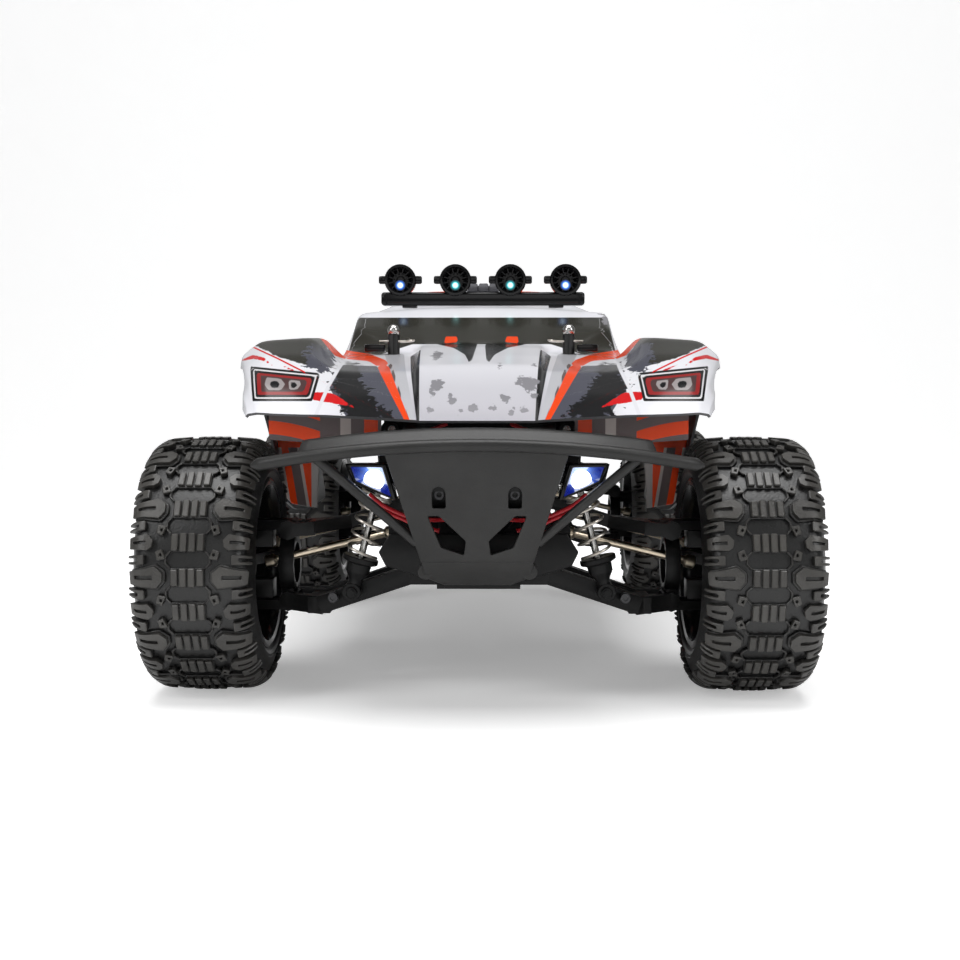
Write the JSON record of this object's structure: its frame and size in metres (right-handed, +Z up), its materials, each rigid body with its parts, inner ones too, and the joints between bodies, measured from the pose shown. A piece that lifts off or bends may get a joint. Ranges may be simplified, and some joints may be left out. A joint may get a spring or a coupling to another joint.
{
  "type": "rc monster truck",
  "caption": "Radio-controlled monster truck with big lugged tyres, sprung wishbone suspension, steering linkage, tube bumper, painted shell and roof lamps.",
  "frame": {"origin": "on the ground under the middle of the truck's overall box", "axes": "+Z up, -Y towards the nose, +X towards the truck's own left side"},
  "size_m": [0.295, 0.464, 0.2062],
  "materials": {
    "black_plastic": "moulded, fine grain",
    "rubber": "matt rubber",
    "steel": "polished",
    "brass_steel": "warm plated steel",
    "painted_shell": "gloss colour-block livery",
    "red_plastic": "moulded",
    "battery_wrap": "shrink wrap",
    "gear_plastic": "moulded",
    "lamp_glass": "clear lens over a pale reflector",
    "rim_plastic": "gloss black"
  },
  "bodies": {
    "chassis": {"chassis_tub": "black_plastic", "front_gearbox_case": "black_plastic", "rear_gearbox_case": "black_plastic", "front_shock_tower": "black_plastic", "rear_shock_tower": "black_plastic", "front_body_mount": "black_plastic", "front_bumper": "black_plastic", "rear_bumper": "black_plastic", "left_headlamp": "lamp_glass", "right_headlamp": "lamp_glass", "motor": "steel", "battery_pack": "battery_wrap", "electronics_box": "red_plastic", "steering_servo": "black_plastic", "body_shell": "painted_shell", "roof_light_bar": "black_plastic"},
    "motor_pinion": {"motor_pinion": "brass_steel"},
    "centre_drive_shaft": {"centre_drive_shaft": "gear_plastic"},
    "servo_horn": {"servo_horn": "black_plastic"},
    "steering_link": {"steering_link": "black_plastic"},
    "front_left_lower_arm": {"front_left_lower_arm": "black_plastic"},
    "front_left_upper_arm": {"front_left_upper_arm": "black_plastic"},
    "front_left_drive_shaft": {"front_left_drive_shaft": "brass_steel"},
    "front_left_shock_body": {"front_left_shock_body": "black_plastic"},
    "front_left_shock_rod": {"front_left_shock_rod": "steel", "front_left_spring": "steel"},
    "front_left_wheel": {"front_left_rim": "rim_plastic", "front_left_tyre": "rubber"},
    "front_left_hub_carrier": {"front_left_hub_carrier": "black_plastic"},
    "front_left_knuckle": {"front_left_knuckle": "black_plastic"},
    "left_tie_rod": {"left_tie_rod": "steel"},
    "front_right_lower_arm": {"front_right_lower_arm": "black_plastic"},
    "front_right_upper_arm": {"front_right_upper_arm": "black_plastic"},
    "front_right_drive_shaft": {"front_right_drive_shaft": "brass_steel"},
    "front_right_shock_body": {"front_right_shock_body": "black_plastic"},
    "front_right_shock_rod": {"front_right_shock_rod": "steel", "front_right_spring": "steel"},
    "front_right_wheel": {"front_right_rim": "rim_plastic", "front_right_tyre": "rubber"},
    "front_right_hub_carrier": {"front_right_hub_carrier": "black_plastic"},
    "front_right_knuckle": {"front_right_knuckle": "black_plastic"},
    "right_tie_rod": {"right_tie_rod": "steel"},
    "rear_left_lower_arm": {"rear_left_lower_arm": "black_plastic"},
    "rear_left_upper_arm": {"rear_left_upper_arm": "black_plastic"},
    "rear_left_drive_shaft": {"rear_left_drive_shaft": "brass_steel"},
    "rear_left_shock_body": {"rear_left_shock_body": "black_plastic"},
    "rear_left_shock_rod": {"rear_left_shock_rod": "steel", "rear_left_spring": "steel"},
    "rear_left_wheel": {"rear_left_rim": "rim_plastic", "rear_left_tyre": "rubber"},
    "rear_left_upright": {"rear_left_upright": "black_plastic"},
    "rear_right_lower_arm": {"rear_right_lower_arm": "black_plastic"},
    "rear_right_upper_arm": {"rear_right_upper_arm": "black_plastic"},
    "rear_right_drive_shaft": {"rear_right_drive_shaft": "brass_steel"},
    "rear_right_shock_body": {"rear_right_shock_body": "black_plastic"},
    "rear_right_shock_rod": {"rear_right_shock_rod": "steel", "rear_right_spring": "steel"},
    "rear_right_wheel": {"rear_right_rim": "rim_plastic", "rear_right_tyre": "rubber"},
    "rear_right_upright": {"rear_right_upright": "black_plastic"}
  },
  "joints": [
    {"name": "front_left_arm_swing", "type": "hinge", "parent": "chassis", "child": "front_left_lower_arm", "pos_m": [0.026, -0.142, 0.0555], "axis": [0, -1, 0], "range_deg": [0, 16], "stiffness_Nm_per_rad": 1.2, "springref_deg": -24.06, "deforming": ["front_left_spring"]},
    {"name": "front_left_hub_pivot", "type": "hinge", "parent": "front_left_lower_arm", "child": "front_left_hub_carrier", "pos_m": [0.086, -0.142, 0.041], "axis": [0, -1, 0], "range_deg": [-16.2, 0]},
    {"name": "front_left_upper_arm_swing", "type": "hinge", "parent": "chassis", "child": "front_left_upper_arm", "pos_m": [0.026, -0.142, 0.0875], "axis": [0, -1, 0], "range_deg": [0, 16.2]},
    {"name": "front_left_shaft_swing", "type": "hinge", "parent": "chassis", "child": "front_left_drive_shaft", "pos_m": [0.038, -0.142, 0.072], "axis": [0, -1, 0], "range_deg": [0, 16.2]},
    {"name": "front_left_shock_top_swing", "type": "hinge", "parent": "chassis", "child": "front_left_shock_rod", "pos_m": [0.04, -0.1635, 0.108], "axis": [0, -1, 0], "range_deg": [0, 3.66]},
    {"name": "front_left_shock_foot_swing", "type": "hinge", "parent": "front_left_lower_arm", "child": "front_left_shock_body", "pos_m": [0.056, -0.1635, 0.047], "axis": [0, -1, 0], "range_deg": [-12.75, 0]},
    {"name": "front_left_steer", "type": "hinge", "parent": "front_left_hub_carrier", "child": "front_left_knuckle", "pos_m": [0.098, -0.142, 0.0575], "axis": [0, 0, 1], "range_deg": [-22, 22]},
    {"name": "left_tie_rod_swing", "type": "hinge", "parent": "steering_link", "child": "left_tie_rod", "pos_m": [0.038, -0.116, 0.0785], "axis": [0, -1, 0], "range_deg": [0, 16.2]},
    {"name": "front_left_wheel_spin", "type": "hinge", "parent": "front_left_knuckle", "child": "front_left_wheel", "pos_m": [0.1205, -0.142, 0.0575], "axis": [1, 0, 0], "continuous": true},
    {"name": "front_right_arm_swing", "type": "hinge", "parent": "chassis", "child": "front_right_lower_arm", "pos_m": [-0.026, -0.142, 0.0555], "axis": [0, 1, 0], "range_deg": [0, 16], "stiffness_Nm_per_rad": 1.2, "springref_deg": -24.06, "deforming": ["front_right_spring"]},
    {"name": "front_right_hub_pivot", "type": "hinge", "parent": "front_right_lower_arm", "child": "front_right_hub_carrier", "pos_m": [-0.086, -0.142, 0.041], "axis": [0, 1, 0], "range_deg": [-16.2, 0]},
    {"name": "front_right_upper_arm_swing", "type": "hinge", "parent": "chassis", "child": "front_right_upper_arm", "pos_m": [-0.026, -0.142, 0.0875], "axis": [0, 1, 0], "range_deg": [0, 16.2]},
    {"name": "front_right_shaft_swing", "type": "hinge", "parent": "chassis", "child": "front_right_drive_shaft", "pos_m": [-0.038, -0.142, 0.072], "axis": [0, 1, 0], "range_deg": [0, 16.2]},
    {"name": "front_right_shock_top_swing", "type": "hinge", "parent": "chassis", "child": "front_right_shock_rod", "pos_m": [-0.04, -0.1635, 0.108], "axis": [0, 1, 0], "range_deg": [0, 3.66]},
    {"name": "front_right_shock_foot_swing", "type": "hinge", "parent": "front_right_lower_arm", "child": "front_right_shock_body", "pos_m": [-0.056, -0.1635, 0.047], "axis": [0, 1, 0], "range_deg": [-12.75, 0]},
    {"name": "front_right_steer", "type": "hinge", "parent": "front_right_hub_carrier", "child": "front_right_knuckle", "pos_m": [-0.098, -0.142, 0.0575], "axis": [0, 0, 1], "range_deg": [-22, 22]},
    {"name": "right_tie_rod_swing", "type": "hinge", "parent": "steering_link", "child": "right_tie_rod", "pos_m": [-0.038, -0.116, 0.0785], "axis": [0, 1, 0], "range_deg": [0, 16.2]},
    {"name": "front_right_wheel_spin", "type": "hinge", "parent": "front_right_knuckle", "child": "front_right_wheel", "pos_m": [-0.1205, -0.142, 0.0575], "axis": [1, 0, 0], "continuous": true},
    {"name": "rear_left_arm_swing", "type": "hinge", "parent": "chassis", "child": "rear_left_lower_arm", "pos_m": [0.026, 0.142, 0.0555], "axis": [0, -1, 0], "range_deg": [0, 16], "stiffness_Nm_per_rad": 1.2, "springref_deg": -24.06, "deforming": ["rear_left_spring"]},
    {"name": "rear_left_hub_pivot", "type": "hinge", "parent": "rear_left_lower_arm", "child": "rear_left_upright", "pos_m": [0.086, 0.142, 0.041], "axis": [0, -1, 0], "range_deg": [-16.2, 0]},
    {"name": "rear_left_upper_arm_swing", "type": "hinge", "parent": "chassis", "child": "rear_left_upper_arm", "pos_m": [0.026, 0.142, 0.0875], "axis": [0, -1, 0], "range_deg": [0, 16.2]},
    {"name": "rear_left_shaft_swing", "type": "hinge", "parent": "chassis", "child": "rear_left_drive_shaft", "pos_m": [0.038, 0.142, 0.072], "axis": [0, -1, 0], "range_deg": [0, 16.2]},
    {"name": "rear_left_shock_top_swing", "type": "hinge", "parent": "chassis", "child": "rear_left_shock_rod", "pos_m": [0.04, 0.1635, 0.108], "axis": [0, -1, 0], "range_deg": [0, 3.66]},
    {"name": "rear_left_shock_foot_swing", "type": "hinge", "parent": "rear_left_lower_arm", "child": "rear_left_shock_body", "pos_m": [0.056, 0.1635, 0.047], "axis": [0, -1, 0], "range_deg": [-12.75, 0]},
    {"name": "rear_left_wheel_spin", "type": "hinge", "parent": "rear_left_upright", "child": "rear_left_wheel", "pos_m": [0.1205, 0.142, 0.0575], "axis": [1, 0, 0], "continuous": true},
    {"name": "rear_right_arm_swing", "type": "hinge", "parent": "chassis", "child": "rear_right_lower_arm", "pos_m": [-0.026, 0.142, 0.0555], "axis": [0, 1, 0], "range_deg": [0, 16], "stiffness_Nm_per_rad": 1.2, "springref_deg": -24.06, "deforming": ["rear_right_spring"]},
    {"name": "rear_right_hub_pivot", "type": "hinge", "parent": "rear_right_lower_arm", "child": "rear_right_upright", "pos_m": [-0.086, 0.142, 0.041], "axis": [0, 1, 0], "range_deg": [-16.2, 0]},
    {"name": "rear_right_upper_arm_swing", "type": "hinge", "parent": "chassis", "child": "rear_right_upper_arm", "pos_m": [-0.026, 0.142, 0.0875], "axis": [0, 1, 0], "range_deg": [0, 16.2]},
    {"name": "rear_right_shaft_swing", "type": "hinge", "parent": "chassis", "child": "rear_right_drive_shaft", "pos_m": [-0.038, 0.142, 0.072], "axis": [0, 1, 0], "range_deg": [0, 16.2]},
    {"name": "rear_right_shock_top_swing", "type": "hinge", "parent": "chassis", "child": "rear_right_shock_rod", "pos_m": [-0.04, 0.1635, 0.108], "axis": [0, 1, 0], "range_deg": [0, 3.66]},
    {"name": "rear_right_shock_foot_swing", "type": "hinge", "parent": "rear_right_lower_arm", "child": "rear_right_shock_body", "pos_m": [-0.056, 0.1635, 0.047], "axis": [0, 1, 0], "range_deg": [-12.75, 0]},
    {"name": "rear_right_wheel_spin", "type": "hinge", "parent": "rear_right_upright", "child": "rear_right_wheel", "pos_m": [-0.1205, 0.142, 0.0575], "axis": [1, 0, 0], "continuous": true},
    {"name": "servo_horn_turn", "type": "hinge", "parent": "chassis", "child": "servo_horn", "pos_m": [-0.02, -0.09, 0.069], "axis": [0, 0, 1], "range_deg": [-22, 22]},
    {"name": "steering_link_turn", "type": "hinge", "parent": "servo_horn", "child": "steering_link", "pos_m": [-0.02, -0.116, 0.0723], "axis": [0, 0, 1], "range_deg": [-22, 22]},
    {"name": "centre_shaft_spin", "type": "hinge", "parent": "chassis", "child": "centre_drive_shaft", "pos_m": [0, 0, 0.066], "axis": [0, 1, 0], "continuous": true},
    {"name": "motor_spin", "type": "hinge", "parent": "chassis", "child": "motor_pinion", "pos_m": [0.01619, 0.04, 0.066], "axis": [0, 1, 0], "continuous": true}
  ],
  "couplings": [
    {"joint": "front_left_hub_pivot", "follows": "front_left_arm_swing", "ratio": -1},
    {"joint": "front_left_upper_arm_swing", "follows": "front_left_arm_swing", "ratio": 1},
    {"joint": "front_left_shaft_swing", "follows": "front_left_arm_swing", "ratio": 1},
    {"joint": "front_left_shock_top_swing", "follows": "front_left_arm_swing", "ratio": 0.21596},
    {"joint": "front_left_shock_foot_swing", "follows": "front_left_arm_swing", "ratio": -0.78404},
    {"joint": "left_tie_rod_swing", "follows": "front_left_arm_swing", "ratio": 1},
    {"joint": "front_right_hub_pivot", "follows": "front_right_arm_swing", "ratio": -1},
    {"joint": "front_right_upper_arm_swing", "follows": "front_right_arm_swing", "ratio": 1},
    {"joint": "front_right_shaft_swing", "follows": "front_right_arm_swing", "ratio": 1},
    {"joint": "front_right_shock_top_swing", "follows": "front_right_arm_swing", "ratio": 0.21596},
    {"joint": "front_right_shock_foot_swing", "follows": "front_right_arm_swing", "ratio": -0.78404},
    {"joint": "front_right_steer", "follows": "front_left_steer", "ratio": 1},
    {"joint": "right_tie_rod_swing", "follows": "front_right_arm_swing", "ratio": 1},
    {"joint": "rear_left_hub_pivot", "follows": "rear_left_arm_swing", "ratio": -1},
    {"joint": "rear_left_upper_arm_swing", "follows": "rear_left_arm_swing", "ratio": 1},
    {"joint": "rear_left_shaft_swing", "follows": "rear_left_arm_swing", "ratio": 1},
    {"joint": "rear_left_shock_top_swing", "follows": "rear_left_arm_swing", "ratio": 0.21596},
    {"joint": "rear_left_shock_foot_swing", "follows": "rear_left_arm_swing", "ratio": -0.78404},
    {"joint": "rear_right_hub_pivot", "follows": "rear_right_arm_swing", "ratio": -1},
    {"joint": "rear_right_upper_arm_swing", "follows": "rear_right_arm_swing", "ratio": 1},
    {"joint": "rear_right_shaft_swing", "follows": "rear_right_arm_swing", "ratio": 1},
    {"joint": "rear_right_shock_top_swing", "follows": "rear_right_arm_swing", "ratio": 0.21596},
    {"joint": "rear_right_shock_foot_swing", "follows": "rear_right_arm_swing", "ratio": -0.78404},
    {"joint": "servo_horn_turn", "follows": "front_left_steer", "ratio": 1},
    {"joint": "steering_link_turn", "follows": "front_left_steer", "ratio": -1},
    {"joint": "motor_spin", "follows": "centre_shaft_spin", "ratio": -2.6}
  ]
}
